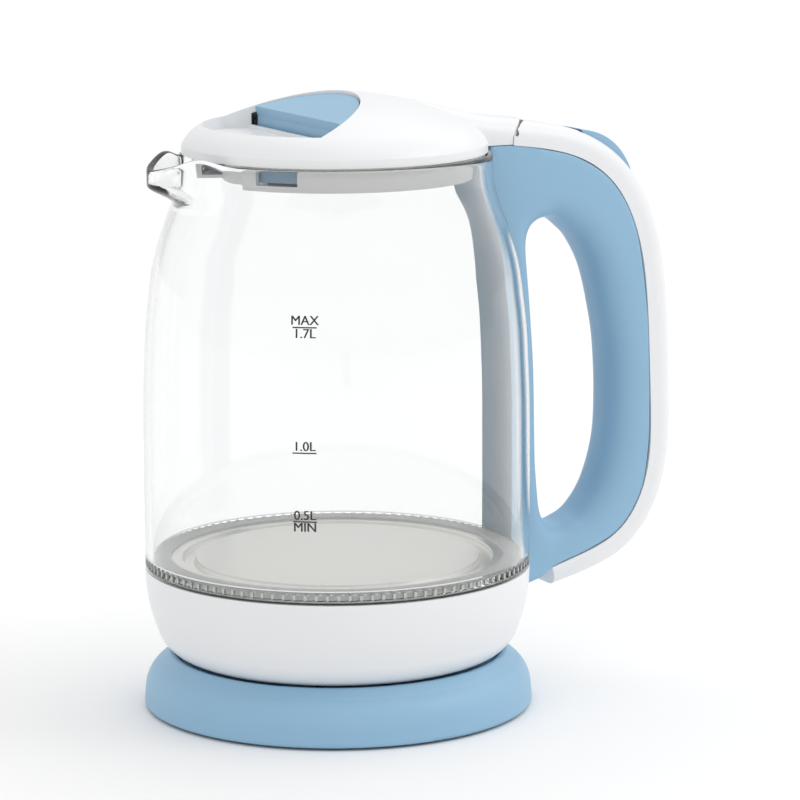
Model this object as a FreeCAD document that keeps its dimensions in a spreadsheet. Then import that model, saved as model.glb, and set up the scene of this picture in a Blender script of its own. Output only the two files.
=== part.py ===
import FreeCAD, Part
import math
import os
import re
import Sketcher
from FreeCAD import Rotation, Vector

# Glass electric kettle on a round power base.
# Origin: the base's axis on the table. +X points to the handle, -X to the spout, +Z up.

doc = FreeCAD.newDocument("electric_kettle")
sheet = doc.addObject("Spreadsheet::Sheet", "Sizes")

# Driving sizes in millimetres, angles in degrees.
driving = [
    ("base_width", 155.0, "widest part of the power base"),
    ("base_side", 7.0, "height where the base's upright side ends"),
    ("base_crest_width", 133.0, "circle of the base's rounded crest"),
    ("base_crest", 22.2, "height of the crest"),
    ("base_floor", 20.0, "height of the floor that the jug stands over"),
    ("base_wall", 2.5, "base shell wall"),
    ("base_lift", 1.0, "air under the shell's lower edge"),
    ("base_plate", 2.0, "bottom plate of the base"),
    ("foot_ring_width", 126.0, "middle circle of the rubber foot ring"),
    ("foot_ring_band", 8.0, "width of the rubber ring's face"),
    ("gland_bore", 6.4, "cord hole"),
    ("gland_height", 9.5, "height of the cord hole"),
    ("tower_width", 26.0, "round connector tower of the base"),
    ("tower_top", 31.0, "top of the tower"),
    ("centre_bore", 6.4, "hole for the jug's centre pin"),
    ("groove_inner", 13.0, "inner circle of the tower's ring groove"),
    ("groove_outer", 19.0, "outer circle of the tower's ring groove"),
    ("body_width", 153.0, "white shell, light ring and glass"),
    ("shell_top", 56.7, "top of the white shell"),
    ("shell_floor", 21.5, "underside of the white shell"),
    ("shell_foot_width", 122.0, "circle where the bowl turns flat"),
    ("shell_wall", 2.5, "white shell wall"),
    ("cover_width", 112.0, "round cover under the jug"),
    ("ring_height", 5.2, "clear light ring"),
    ("ring_wall", 3.2, "clear light ring wall"),
    ("glass_wall", 3.0, "glass wall"),
    ("glass_straight", 100.0, "height where the glass starts to curve in"),
    ("shoulder_width", 147.6, "glass at the shoulder"),
    ("shoulder", 164.0, "height of the shoulder"),
    ("collar_width", 128.6, "glass at the collar"),
    ("collar", 202.0, "height of the collar"),
    ("neck_width", 119.0, "glass at the rim"),
    ("glass_top", 220.6, "glass rim"),
    ("spout_reach", 79.0, "axis to the tip of the spout"),
    ("spout_tip", 214.0, "height of the pouring lip's lower edge"),
    ("spout_top", 223.4, "height of the spout's side walls"),
    ("plate_width", 124.0, "heating plate with its groove"),
    ("plate_disc", 112.4, "flat disc inside the groove"),
    ("plate_top", 60.4, "top of the heating plate"),
    ("plate_sheet", 1.0, "thickness of the plate"),
    ("groove_depth", 2.4, "groove round the disc"),
    ("lid_width", 120.0, "lid rim"),
    ("lid_edge", 221.3, "lower edge of the lid"),
    ("lid_bend", 232.0, "height where the lid's side turns into its crown"),
    ("lid_top", 244.6, "crown of the lid"),
    ("lid_wall", 2.4, "lid wall"),
    ("scoop_circle", 104.0, "outer circle of the finger scoop"),
    ("scoop_back", 46.0, "radius of the scoop's back edge"),
    ("scoop_shift", 40.0, "centre of the back edge towards the spout"),
    ("scoop_floor", 227.5, "floor of the finger scoop"),
    ("lever_front", 16.5, "front edge of the lever from the axis"),
    ("lever_rise", 17.0, "slope of the lever's top"),
    ("lever_edge", 236.4, "height of the lever's front edge"),
    ("skirt_width", 110.0, "skirt under the lid, at its top"),
    ("skirt_taper", 2.4, "how far the skirt draws in at its lower edge"),
    ("skirt_floor", 211.3, "lower edge of the skirt"),
    ("skirt_wall", 2.0, "skirt wall"),
    ("tail_width", 27.2, "tail of the lid over the handle"),
    ("tail_round", 15.4, "rounded end of the tail"),
    ("tail_reach", 80.2, "axis to the tail's end"),
    ("tail_rise", 230.6, "top of the tail at its end"),
    ("hinge_reach", 73.6, "axis to the lid hinge"),
    ("hinge_height", 225.4, "height of the lid hinge"),
    ("hinge_pin_width", 3.0, "lid hinge pin"),
    ("handle_width", 28.0, "handle across"),
    ("arm_height", 220.8, "parting line at the lid"),
    ("handle_reach", 136.0, "parting line of the grip from the axis"),
    ("handle_foot", 47.6, "parting line at the foot"),
    ("spine_reach", 82.8, "outer face of the spine beside the glass"),
    ("grip_depth", 16.5, "parting line to the fingers"),
    ("cover_depth", 11.8, "parting line to the white cover's back"),
    ("handle_wall", 2.4, "wall of the handle shells"),
    ("rocker_width", 17.0, "power switch across"),
    ("rocker_pin_width", 2.4, "pin of the power switch"),
    ("run_gap", 0.05, "radial clearance of a running fit"),
    ("slip_gap", 0.4, "clearance between pieces that move apart"),
    ("seat_gap", 0.1, "clearance between pieces that stay together"),
]
for row, (alias, value, note) in enumerate(driving, 1):
    sheet.set("A%d" % row, alias)
    sheet.set("B%d" % row, str(value))
    sheet.set("C%d" % row, note)
    sheet.setAlias("B%d" % row, alias)
doc.recompute()
size = {alias: float(getattr(sheet, alias)) for alias, value, note in driving}
words = re.compile(r"\b(" + "|".join(size) + r")\b")


def bound(text):
    """An expression on the sheet's cells, from plain size names."""
    return words.sub(r"Sizes.\1", str(text))


def number(text):
    """The number that such an expression gives now."""
    result = sheet.evalExpression(bound(text))
    return float(getattr(result, "Value", result))


# ---- helpers for bodies made from sketches

def new_body(label):
    body = doc.addObject("PartDesign::Body", label)
    body.Label = label
    body.AllowCompound = True
    return body


def new_sketch(body, role, height="0"):
    plane = next(item for item in body.Origin.OriginFeatures if item.Role == role)
    sketch = body.newObject("Sketcher::SketchObject", body.Label + "_sketch")
    sketch.AttachmentSupport = [(plane, "")]
    sketch.MapMode = "FlatFace"
    sketch.setExpression("AttachmentOffset.Base.z", bound(height))
    return sketch


def pin_point(sketch, geometry, end, x_text, y_text):
    """Hold one point of a sketch at two expressions."""
    for kind, text, axis in (("DistanceX", x_text, -2), ("DistanceY", y_text, -1)):
        if str(text) == "0":
            sketch.addConstraint(Sketcher.Constraint("PointOnObject", geometry, end, axis))
        else:
            index = sketch.addConstraint(Sketcher.Constraint(kind, -1, 1, geometry, end, number(text)))
            sketch.setExpression("Constraints[%d]" % index, bound(text))


def outline(sketch, corners):
    """Closed outline: a corner is (x, y), or (x, y, bow) where the side after it is an arc.

    The bow is the arc's height over its chord, positive to the left of the way round.
    """
    spots = [Vector(number(corner[0]), number(corner[1]), 0) for corner in corners]
    ends = []
    for step, corner in enumerate(corners):
        here = spots[step]
        there = spots[(step + 1) % len(spots)]
        if len(corner) == 2:
            index = sketch.addGeometry(Part.LineSegment(here, there))
            ends.append((index, 1, 2))
            continue
        along = there - here
        left = Vector(-along.y, along.x, 0).normalize()
        middle = (here + there) / 2 + left * number(corner[2])
        index = sketch.addGeometry(Part.Arc(here, middle, there))
        starts_here = sketch.getPoint(index, 1).distanceToPoint(here) < 1e-4
        ends.append((index, 1, 2) if starts_here else (index, 2, 1))
    for step, corner in enumerate(corners):
        index, start, finish = ends[step]
        following, next_start = ends[(step + 1) % len(ends)][:2]
        sketch.addConstraint(Sketcher.Constraint("Coincident", index, finish, following, next_start))
        pin_point(sketch, index, start, corner[0], corner[1])
    for step, corner in enumerate(corners):
        if len(corner) == 3:
            after = corners[(step + 1) % len(corners)]
            across = "((%s) - (%s))" % (after[0], corner[0])
            upward = "((%s) - (%s))" % (after[1], corner[1])
            bow = "abs(%s)" % corner[2]
            radius = "(%s^2 + %s^2) / (8 * %s) + %s / 2" % (across, upward, bow, bow)
            index = sketch.addConstraint(Sketcher.Constraint("Radius", ends[step][0], number(radius)))
            sketch.setExpression("Constraints[%d]" % index, bound(radius))


def turn(body, *outlines):
    """Turn outlines in the XZ plane about the Z axis."""
    sketch = new_sketch(body, "XZ_Plane")
    for corners in outlines:
        outline(sketch, corners)
    feature = body.newObject("PartDesign::Revolution", body.Label + "_turned")
    feature.Profile = sketch
    feature.ReferenceAxis = (sketch, ["V_Axis"])
    feature.Angle = 360
    body.Tip = feature
    return feature


def turned(label, *outlines):
    body = new_body(label)
    turn(body, *outlines)
    return body


def circle(sketch, x_text, y_text, radius):
    centre = Vector(number(x_text), number(y_text), 0)
    index = sketch.addGeometry(Part.Circle(centre, Vector(0, 0, 1), number(radius)))
    pin_point(sketch, index, 3, x_text, y_text)
    held = sketch.addConstraint(Sketcher.Constraint("Radius", index, number(radius)))
    sketch.setExpression("Constraints[%d]" % held, bound(radius))


def pad(body, height, length, *circles):
    """Pad circles (x, y, radius) up from a height."""
    sketch = new_sketch(body, "XY_Plane", height)
    for spot in circles:
        circle(sketch, *spot)
    feature = body.newObject("PartDesign::Pad", body.Label + "_pad")
    feature.Profile = sketch
    feature.setExpression("Length", bound(length))
    body.Tip = feature
    return feature


def drill(body, height, length, *circles):
    """Cut circles (x, y, radius) down from a height."""
    sketch = new_sketch(body, "XY_Plane", height)
    for spot in circles:
        circle(sketch, *spot)
    feature = body.newObject("PartDesign::Pocket", body.Label + "_hole")
    feature.Profile = sketch
    feature.setExpression("Length", bound(length))
    body.Tip = feature
    return feature


def repeat(body, count, *features):
    """Repeat features round the Z axis."""
    pattern = body.newObject("PartDesign::PolarPattern", body.Label + "_pattern")
    pattern.Originals = list(features)
    pattern.Axis = (features[0].Profile[0], ["N_Axis"])
    pattern.Angle = 360
    pattern.Occurrences = count
    body.Tip = pattern
    doc.recompute()
    return pattern


def shaped(label, shape):
    """A sub-part whose form no sketch feature gives."""
    feature = doc.addObject("Part::Feature", label)
    feature.Label = label
    feature.Shape = shape
    return feature


# ---- helpers for free-form shapes

def smooth_line(points):
    """A smooth curve through (x, z) points in the plane of symmetry."""
    curve = Part.BSplineCurve()
    curve.interpolate([Vector(x, 0, z) for x, z in points])
    return curve


def offset_line(curve, depth_at, count=14, start=0.0, finish=1.0):
    """A smooth curve beside another, at depth_at(share of its length), to the left of its run."""
    first, last = curve.FirstParameter, curve.LastParameter
    points = []
    for step in range(count + 1):
        share = start + (finish - start) * step / count
        place = first + (last - first) * share
        tangent = curve.tangent(place)[0]
        spot = curve.value(place)
        depth = depth_at(share)
        points.append((spot.x - tangent.z * depth, spot.z + tangent.x * depth))
    return smooth_line(points)


def slab(edges, half_width, middle=0.0):
    """The solid between two planes across the handle, inside a closed outline of edges."""
    face = Part.Face(Part.Wire(Part.__sortEdges__([edge.toShape() for edge in edges])))
    face.translate(Vector(0, middle - half_width, 0))
    return face.extrude(Vector(0, 2 * half_width, 0))


def side_line(start, finish):
    return Part.LineSegment(Vector(start[0], 0, start[1]), Vector(finish[0], 0, finish[1]))


def side_block(points, half_width, middle=0.0):
    """A prism across the handle from (x, z) corners."""
    pairs = zip(points, points[1:] + points[:1])
    return slab([side_line(start, finish) for start, finish in pairs], half_width, middle)


def cross_rod(x, z, radius, half_width, middle=0.0):
    """A cylinder along Y."""
    base = Vector(x, middle - half_width, z)
    return Part.makeCylinder(radius, 2 * half_width, base, Vector(0, 1, 0))


def upright(x, y, radius, low, high):
    return Part.makeCylinder(radius, high - low, Vector(x, y, low), Vector(0, 0, 1))


def spun(points):
    """A solid turned about the Z axis from (radius, z) items; a triple bows the side after it."""
    edges = []
    spots = [Vector(point[0], 0, point[1]) for point in points]
    for step, point in enumerate(points):
        here = spots[step]
        there = spots[(step + 1) % len(spots)]
        if here.distanceToPoint(there) < 1e-9:
            continue
        if len(point) == 3:
            along = there - here
            left = Vector(-along.z, 0, along.x).normalize()
            middle = (here + there) / 2 + left * point[2]
            edges.append(Part.Arc(here, middle, there).toShape())
        else:
            edges.append(Part.LineSegment(here, there).toShape())
    face = Part.Face(Part.Wire(edges))
    return face.revolve(Vector(0, 0, 0), Vector(0, 0, 1), 360)


# ---- power base

base_inner = "base_width / 2 - base_wall"
crest = "base_crest_width / 2"
plate_low = "base_lift + 1"
screw_circle = 45.0

base_top_shell = turned("base_top_shell", [
    (base_inner, "base_lift"),
    ("base_width / 2 - 1", "base_lift", "-0.3"),
    ("base_width / 2", "base_lift + 1.4"),
    ("base_width / 2 - 0.4", "base_side", "-1.6"),
    (crest + " + 4.5", "base_crest - 3.9"),
    (crest + " + 1", "base_crest - 0.4", "-0.4"),
    (crest + " - 1.2", "base_crest - 0.5"),
    (crest + " - 3.4", "base_floor"),
    ("tower_width / 2 + 6", "base_floor"),
    ("tower_width / 2 + 6", "base_floor - base_wall"),
    (crest + " - 3", "base_floor - base_wall"),
    (crest, "base_crest - base_wall - 0.7"),
    (crest + " + 2.6", "base_crest - base_wall - 3.1", "1.3"),
    (base_inner + " - 0.4", "base_side"),
])
boss = pad(base_top_shell, plate_low + " + base_plate",
           "base_floor - base_wall - base_plate - base_lift - 1",
           (screw_circle, "0", 4.0), (screw_circle, "0", 1.5))
repeat(base_top_shell, 3, boss)
cord_sketch = new_sketch(base_top_shell, "XZ_Plane")
circle(cord_sketch, "0", "gland_height", "gland_bore / 2 + 2 + seat_gap")
cord_hole = base_top_shell.newObject("PartDesign::Pocket", "base_top_shell_cord_hole")
cord_hole.Profile = cord_sketch
cord_hole.setExpression("Length", bound("base_width"))
base_top_shell.Tip = cord_hole

base_bottom_plate = turned("base_bottom_plate", [
    ("0", plate_low),
    (base_inner + " - slip_gap", plate_low),
    (base_inner + " - slip_gap", plate_low + " + base_plate"),
    ("0", plate_low + " + base_plate"),
])
repeat(base_bottom_plate, 3,
       drill(base_bottom_plate, plate_low + " + base_plate", "base_plate", (screw_circle, "0", 1.7)))

base_foot_ring = turned("base_foot_ring", [
    ("(foot_ring_width - foot_ring_band) / 2", "0"),
    ("(foot_ring_width + foot_ring_band) / 2", "0"),
    ("(foot_ring_width + foot_ring_band) / 2 - 0.5", plate_low),
    ("(foot_ring_width - foot_ring_band) / 2 + 0.5", plate_low),
])

base_screws = new_body("base_screws")
head = pad(base_screws, plate_low + " - 1", "1", (screw_circle, "0", 2.9))
shank = pad(base_screws, plate_low, "9", (screw_circle, "0", 1.4))
repeat(base_screws, 3, head, shank)

base_socket = turned("base_socket", [
    ("0", "base_side + 1"),
    ("tower_width / 2 + 2", "base_side + 1"),
    ("tower_width / 2 + 2", "base_floor - base_wall - 2"),
    ("tower_width / 2 + 9", "base_floor - base_wall - 2"),
    ("tower_width / 2 + 9", "base_floor - base_wall"),
    ("tower_width / 2 + 6 - seat_gap", "base_floor - base_wall"),
    ("tower_width / 2 + 6 - seat_gap", "base_floor"),
    ("tower_width / 2", "base_floor"),
    ("tower_width / 2", "tower_top - 1"),
    ("tower_width / 2 - 1", "tower_top"),
    ("groove_outer / 2", "tower_top"),
    ("groove_outer / 2", "base_floor + 1"),
    ("groove_inner / 2", "base_floor + 1"),
    ("groove_inner / 2", "tower_top"),
    ("centre_bore / 2", "tower_top"),
    ("centre_bore / 2", "base_floor - 1"),
    ("0", "base_floor - 1"),
])

base_contacts = turned("base_contacts", [
    ("centre_bore / 2 - 0.4", "base_floor - 1"),
    ("centre_bore / 2", "base_floor - 1"),
    ("centre_bore / 2", "tower_top - 3"),
    ("centre_bore / 2 - 0.4", "tower_top - 3"),
], [
    ("groove_outer / 2 - 0.4", "base_floor + 1"),
    ("groove_outer / 2", "base_floor + 1"),
    ("groove_outer / 2", "tower_top - 3"),
    ("groove_outer / 2 - 0.4", "tower_top - 3"),
])

# The gland is a bush with a collar on each side of the base's wall, on its far side.
gland_face = size["base_width"] / 2 + 0.3
gland_body = doc.addObject("Part::Cylinder", "gland_body")
gland_body.Placement = FreeCAD.Placement(Vector(0, gland_face - 7, 0), Rotation(Vector(1, 0, 0), -90))
gland_body.setExpression("Placement.Base.z", bound("gland_height"))
gland_body.setExpression("Placement.Base.y", bound("base_width / 2 + 0.3 - 7"))
gland_body.setExpression("Radius", bound("gland_bore / 2 + 2"))
gland_body.Height = 7
gland_hole = doc.addObject("Part::Cylinder", "gland_hole")
gland_hole.Placement = FreeCAD.Placement(Vector(0, gland_face - 8, 0), Rotation(Vector(1, 0, 0), -90))
gland_hole.setExpression("Placement.Base.z", bound("gland_height"))
gland_hole.setExpression("Placement.Base.y", bound("base_width / 2 + 0.3 - 8"))
gland_hole.setExpression("Radius", bound("gland_bore / 2"))
gland_hole.Height = 9
cord_gland = doc.addObject("Part::Cut", "cord_gland")
cord_gland.Label = "cord_gland"
cord_gland.Base = gland_body
cord_gland.Tool = gland_hole

# ---- jug: white bottom shell and what it holds

bowl_drop = "(shell_top - shell_floor)"
bowl_swell = "(body_width / 2 - shell_foot_width / 2)"
bottom_shell = turned("bottom_shell", [
    ("body_width / 2 - shell_wall", "shell_top"),
    ("shell_foot_width / 2 + (" + bowl_swell + " - shell_wall) * 0.7125",
     "shell_top - (" + bowl_drop + " - shell_wall) * 0.7017", "-2"),
    ("shell_foot_width / 2", "shell_floor + shell_wall"),
    ("cover_width / 2 + seat_gap", "shell_floor + shell_wall"),
    ("cover_width / 2 + seat_gap", "shell_floor"),
    ("shell_foot_width / 2", "shell_floor", "-2.15"),
    ("shell_foot_width / 2 + " + bowl_swell + " * 0.7125",
     "shell_top - " + bowl_drop + " * 0.7017", "-1.25"),
    ("body_width / 2", "shell_top"),
])

bottom_cover = turned("bottom_cover", [
    ("tower_width / 2 + 8", "shell_floor"),
    ("cover_width / 2", "shell_floor"),
    ("cover_width / 2", "shell_floor + 2"),
    ("tower_width / 2 + 8", "shell_floor + 2"),
])
cover_screw_circle = "cover_width / 2 - 6"
repeat(bottom_cover, 3,
       drill(bottom_cover, "shell_floor + 2", "2", (cover_screw_circle, "0", 1.7)))

jug_foot_circle = "shell_foot_width / 2 - 3.7"
jug_feet = new_body("jug_feet")
nub = pad(jug_feet, "base_floor + 0.3", "shell_floor - base_floor - 0.3",
          (jug_foot_circle, "-3.1", 1.9))
repeat(jug_feet, 3, nub)

bottom_screws = new_body("bottom_screws")
cover_head = pad(bottom_screws, "shell_floor - 0.8", "0.8", (cover_screw_circle, "0", 2.8))
cover_shank = pad(bottom_screws, "shell_floor", "8", (cover_screw_circle, "0", 1.4))
repeat(bottom_screws, 3, cover_head, cover_shank)

# The jug's half of the connector is a cup over the tower, with a centre pin and a ring.
cup_roof = "tower_top + 1"
jug_connector = turned("jug_connector", [
    ("0", cup_roof),
    ("tower_width / 2 + 1", cup_roof),
    ("tower_width / 2 + 1", "shell_floor"),
    ("tower_width / 2 + 7.9", "shell_floor"),
    ("tower_width / 2 + 7.9", "shell_floor + 4"),
    ("tower_width / 2 + 3", "shell_floor + 4"),
    ("tower_width / 2 + 3", cup_roof + " + 6"),
    ("0", cup_roof + " + 6"),
])
connector_pins = turned("connector_pins", [
    ("0", "base_floor + 2"),
    ("centre_bore / 2 - 1", "base_floor + 2"),
    ("centre_bore / 2 - 1", cup_roof),
    ("0", cup_roof),
], [
    ("(groove_inner + groove_outer) / 4 - 0.6", "base_floor + 4"),
    ("(groove_inner + groove_outer) / 4 + 0.6", "base_floor + 4"),
    ("(groove_inner + groove_outer) / 4 + 0.6", cup_roof),
    ("(groove_inner + groove_outer) / 4 - 0.6", cup_roof),
])

heating_plate = turned("heating_plate", [
    ("0", "plate_top - plate_sheet"),
    ("plate_disc / 2 - 0.6", "plate_top - plate_sheet"),
    ("plate_disc / 2 + 0.4", "plate_top - plate_sheet - groove_depth"),
    ("plate_width / 2 - 0.4", "plate_top - plate_sheet - groove_depth"),
    ("plate_width / 2 + 0.6", "plate_top - plate_sheet"),
    ("plate_width / 2 + 4", "plate_top - plate_sheet"),
    ("plate_width / 2 + 4", "plate_top"),
    ("plate_width / 2", "plate_top"),
    ("plate_width / 2 - 1", "plate_top - groove_depth"),
    ("plate_disc / 2 + 1", "plate_top - groove_depth"),
    ("plate_disc / 2", "plate_top"),
    ("0", "plate_top"),
])
plate_seal = turned("plate_seal", [
    ("plate_width / 2 + 1", "plate_top - plate_sheet - 2.2"),
    ("body_width / 2 - ring_wall - seat_gap", "plate_top - plate_sheet - 2.2"),
    ("body_width / 2 - ring_wall - seat_gap", "plate_top + 0.8"),
    ("plate_width / 2 + 4 + seat_gap", "plate_top + 0.8"),
    ("plate_width / 2 + 4 + seat_gap", "plate_top - plate_sheet"),
    ("plate_width / 2 + 1", "plate_top - plate_sheet"),
])
light_ring = turned("light_ring", [
    ("body_width / 2 - ring_wall", "shell_top"),
    ("body_width / 2 - 0.2", "shell_top"),
    ("body_width / 2", "shell_top + 0.3"),
    ("body_width / 2", "shell_top + 1.4"),
    ("body_width / 2 - 0.5", "shell_top + 1.8"),
    ("body_width / 2 - 0.5", "shell_top + ring_height - 0.5"),
    ("body_width / 2 - 0.2", "shell_top + ring_height"),
    ("body_width / 2 - ring_wall", "shell_top + ring_height"),
])

# The heater is a horseshoe rod under the plate with its two ends turned down.
rod_circle = size["plate_disc"] / 2 - 12
rod_radius = 4.0
rod_height = size["plate_top"] - size["plate_sheet"] - rod_radius
rod_round = Part.Arc(Vector(rod_circle * math.cos(0.35), rod_circle * math.sin(0.35), rod_height),
                     Vector(-rod_circle, 0, rod_height),
                     Vector(rod_circle * math.cos(0.35), -rod_circle * math.sin(0.35), rod_height))
rod_profile = Part.Wire(Part.makeCircle(rod_radius, rod_round.StartPoint, rod_round.tangent(
    rod_round.FirstParameter)[0]))
heating_element = shaped("heating_element", Part.Wire(rod_round.toShape()).makePipeShell(
    [rod_profile], True, False))

thermostat = doc.addObject("Part::Cylinder", "thermostat_control")
thermostat.Label = "thermostat_control"
thermostat.setExpression("Radius", bound("tower_width / 2 + 6"))
thermostat.Height = 6
thermostat.setExpression("Placement.Base.z", bound(cup_roof + " + 6.2"))

light_board = turned("light_board", [
    ("body_width / 2 - shell_wall - 7", "shell_top - 4"),
    ("body_width / 2 - shell_wall - 1.6", "shell_top - 4"),
    ("body_width / 2 - shell_wall - 1.6", "shell_top - 2.8"),
    ("body_width / 2 - shell_wall - 7", "shell_top - 2.8"),
])
leds = new_body("leds")
led = pad(leds, "shell_top - 2.8", "1.6", ("body_width / 2 - shell_wall - 4", "0", 1.5))
repeat(leds, 8, led)

# ---- glass jug with a moulded spout


def jug_outline(shrink):
    """Half outline of the glass, drawn in by shrink, closed on the axis."""
    foot = size["shell_top"] + size["ring_height"]
    return [
        (0, foot),
        (size["body_width"] / 2 - shrink, foot),
        (size["body_width"] / 2 - shrink, size["glass_straight"], -0.75),
        (size["shoulder_width"] / 2 - shrink, size["shoulder"], -1.3),
        (size["collar_width"] / 2 - shrink, size["collar"]),
        (size["neck_width"] / 2 - shrink, size["glass_top"]),
        (0, size["glass_top"]),
    ]


def spout_section(reach, half_width, low, high):
    """A closed section across the spout: flat above, half an ellipse below."""
    flat = high - (high - low) * 0.35
    sides = [Vector(-reach, -half_width, flat), Vector(-reach, -half_width, high),
             Vector(-reach, half_width, high), Vector(-reach, half_width, flat)]
    curve = Part.BSplineCurve()
    arc = [Vector(-reach, half_width * math.cos(angle), flat - (flat - low) * math.sin(angle))
           for angle in [math.pi * step / 8 for step in range(9)]]
    curve.interpolate(arc)
    edges = [Part.LineSegment(sides[step], sides[step + 1]).toShape() for step in range(3)]
    return Part.Wire([curve.toShape()] + edges)


def spout_solid(wall, rise):
    """The beak, drawn in by wall and raised by rise at its open top."""
    tip, top = size["spout_reach"], size["spout_top"]
    low = size["spout_tip"]
    root = size["neck_width"] / 2
    over = 3.0 if wall else 0.0
    stations = [
        (root - 9 - over, 21.0, low - 15.5, top),
        (root + 2.5, 16.5, low - 9.5, top),
        (root + 11.5, 11.0, low - 4.6, top - 1.2),
        (tip + over, 6.4 - over * 0.5, low + over * 0.8, top - 4.2),
    ]
    wires = [spout_section(reach, half_width - wall, depth + wall, height + rise)
             for reach, half_width, depth, height in stations]
    return Part.makeLoft(wires, True, False)


wall = size["glass_wall"]
outer_form = spun(jug_outline(0.0)).fuse(spout_solid(0.0, 0.0))
inner_form = spun(jug_outline(wall)).fuse(spout_solid(wall * 0.8, 6.0))
lid_room = upright(0, 0, size["lid_width"] / 2 + size["slip_gap"], size["glass_top"],
                   size["lid_top"])
glass_jug = shaped("glass_jug", outer_form.cut(inner_form).cut(lid_room).removeSplitter())

# ---- handle: blue grip with its spine, white back cover

arm, foot = size["arm_height"], size["handle_foot"]
reach, half = size["handle_reach"], size["handle_width"] / 2
tail_centre = size["tail_reach"] - size["tail_round"]
seam = tail_centre + 7.2
rise = arm - foot


def along(share_out, share_up):
    """A point of the handle's side view, from the seam to the reach and from foot to arm."""
    return (seam + (reach - seam) * share_out, foot + rise * share_up)


parting = smooth_line([
    along(0.0, 1.0), along(0.19, 0.99), along(0.47, 0.963), along(0.72, 0.9), along(0.89, 0.787),
    along(0.975, 0.603), along(1.0, 0.389), along(0.973, 0.199), along(0.8, 0.08),
    along(0.5, 0.024), along(0.285, 0.0),
])
front_depth, foot_depth = 9.8, 8.6


def cover_depth_at(share):
    """The white cover is thin at the lid, thickest along the back and thin again at the foot."""
    swell = math.sin(math.pi * min(1.0, max(0.0, share)))
    edge = front_depth + (foot_depth - front_depth) * share
    return edge + (size["cover_depth"] - edge) * swell


seat = offset_line(parting, lambda share: size["seat_gap"])
back = offset_line(parting, cover_depth_at)
channel = offset_line(parting, lambda share: -9.0, start=0.12, finish=0.97)
channel_top = offset_line(parting, lambda share: 1.0, start=0.12, finish=0.97)


def ends(curve):
    first, last = curve.value(curve.FirstParameter), curve.value(curve.LastParameter)
    return (first.x, first.z), (last.x, last.z)


def between(low_curve, high_curve, half_width):
    """The solid between two side-view curves that run the same way."""
    low_start, low_end = ends(low_curve)
    high_start, high_end = ends(high_curve)
    edges = [low_curve, side_line(low_end, high_end), high_curve, side_line(high_start, low_start)]
    return slab(edges, half_width)


spine = size["spine_reach"]
finger_reach = reach - size["grip_depth"]
hole_top, hole_low = arm - 32.0, foot + 16.5
hole_line = smooth_line([
    (spine, hole_low + 10), (spine + 1.5, hole_low + 3.5), (spine + 9, hole_low),
    (spine + 22, hole_low + 4), (finger_reach - 3.5, hole_low + 16),
    (finger_reach, hole_low + 44), (finger_reach - 1.5, hole_top - 50),
    (finger_reach - 6.5, hole_top - 22), (spine + 17, hole_top - 4), (spine + 8, hole_top),
    (spine + 1.8, hole_top - 3.5), (spine, hole_top - 11),
])
hole_start, hole_end = ends(hole_line)
hole = slab([hole_line, side_line(hole_end, hole_start)], half + 1)
parting_start, parting_end = ends(parting)
foot_low = foot - 4.2
grip_outline = [
    parting,
    side_line(parting_end, (parting_end[0] - 2.6, foot - 1.2)),
    side_line((parting_end[0] - 2.6, foot - 1.2), (parting_end[0] - 4.2, foot_low)),
    side_line((parting_end[0] - 4.2, foot_low), (spine - 15, foot_low)),
    side_line((spine - 15, foot_low), (spine - 32, arm)),
    side_line((spine - 32, arm), parting_start),
]
body_form = spun([(max(0.0, point[0] + (size["seat_gap"] if point[0] else 0)),) + tuple(point[1:])
                  for point in jug_outline(0.0)])
below_glass = size["shell_top"] + size["ring_height"]
body_form = body_form.fuse(upright(0, 0, size["body_width"] / 2 + size["seat_gap"], 0, below_glass))
neck_room = upright(0, 0, size["lid_width"] / 2 + size["slip_gap"], size["glass_top"] - 6,
                    size["lid_top"])
grip = slab(grip_outline, half).cut(hole)


def on_hole(edge):
    """True for the two rims of the finger hole."""
    box = edge.BoundBox
    flat = box.YMax - box.YMin < 0.01
    inside = box.XMax < finger_reach + 1 and box.ZMax < hole_top + 1 and box.ZMin > hole_low - 1
    return flat and inside and box.XMin > spine - 0.5


grip = grip.makeFillet(4.6, [edge for edge in grip.Edges if on_hole(edge)])
grip = grip.cut(body_form).cut(neck_room)
grip = grip.cut(between(channel, channel_top, half - size["handle_wall"]))

hinge_x, hinge_z = size["hinge_reach"], size["hinge_height"]
tail_half = size["tail_width"] / 2
round_over = 8.0
opening = math.radians(60)


def tail_end(y):
    return tail_centre + math.sqrt(size["tail_round"] ** 2 - min(abs(y), tail_half) ** 2)


def tail_height(y):
    """Height of the tail's rounded top over the hinge, at a distance from the middle."""
    over = max(0.0, min(abs(y), tail_half) - tail_half + round_over)
    low = size["tail_rise"] + 0.8 - hinge_z - round_over
    return max(0.6, low + math.sqrt(round_over ** 2 - over ** 2))


def swept(y):
    """Distance from the hinge to the tail's rear corner."""
    return math.hypot(max(0.0, tail_end(y) - hinge_x), tail_height(y)) + size["slip_gap"]


def across(reach_at):
    """A level face from the hinge's line out to reach_at(y) along X."""
    stations = [(half + 1) * step / 15 for step in range(-15, 16)]
    start = Vector(hinge_x, 0, hinge_z)
    spots = [start + Vector(reach_at(y), y, 0) for y in stations]
    spots += [start + Vector(0, half + 1, 0), start - Vector(0, half + 1, 0)]
    return Part.Face(Part.makePolygon(spots + spots[:1]))


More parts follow.
